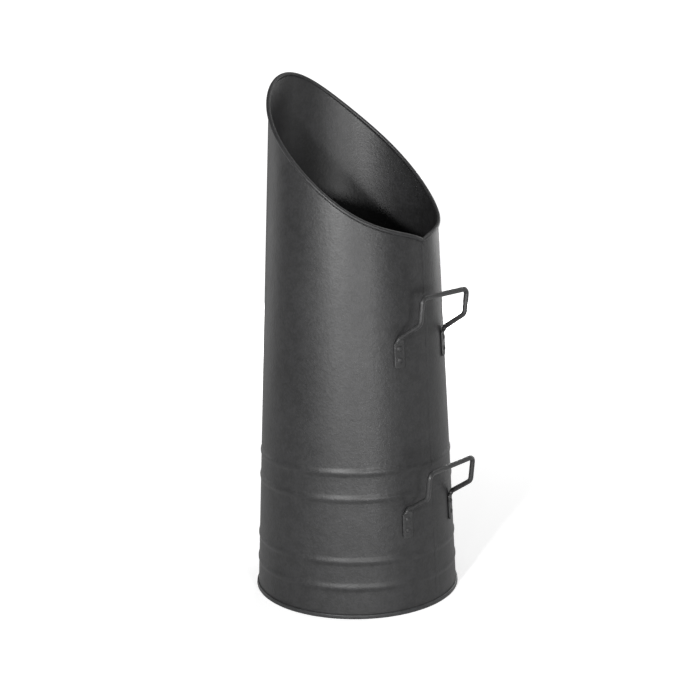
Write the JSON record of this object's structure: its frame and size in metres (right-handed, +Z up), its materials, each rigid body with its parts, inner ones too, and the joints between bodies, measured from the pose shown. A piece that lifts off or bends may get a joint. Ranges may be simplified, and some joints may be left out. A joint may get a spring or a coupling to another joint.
{
  "type": "coal scuttle",
  "caption": "Tall, slightly tapered sheet-steel coal hod with a slanted wired mouth, pressed ribs, a folded-on recessed base and riveted bracket handles up the back.",
  "frame": {"origin": "centre of the round base, on the floor", "axes": "+Z up, +X towards the seam and the two handles, -X towards the tall pouring lip, the XZ plane is the plane of symmetry"},
  "size_m": [0.2312, 0.2132, 0.53],
  "materials": {
    "coated_sheet": "satin black powder coat over sheet steel, fine grain",
    "coated_rod": "satin black powder coat over bent steel rod",
    "coated_rivet": "satin black powder coat over rivet heads and tails",
    "bare_wire": "plain drawn steel wire, hidden in the curled mouth edge"
  },
  "bodies": {
    "root": {"body_sheet": "coated_sheet", "mouth_wire": "bare_wire", "base_pan": "coated_sheet", "upper_handle": "coated_rod", "lower_handle": "coated_rod", "rivet_upper_left_top": "coated_rivet", "rivet_upper_left_bottom": "coated_rivet", "rivet_upper_right_top": "coated_rivet", "rivet_upper_right_bottom": "coated_rivet", "rivet_lower_left_top": "coated_rivet", "rivet_lower_left_bottom": "coated_rivet", "rivet_lower_right_top": "coated_rivet", "rivet_lower_right_bottom": "coated_rivet"}
  },
  "joints": []
}
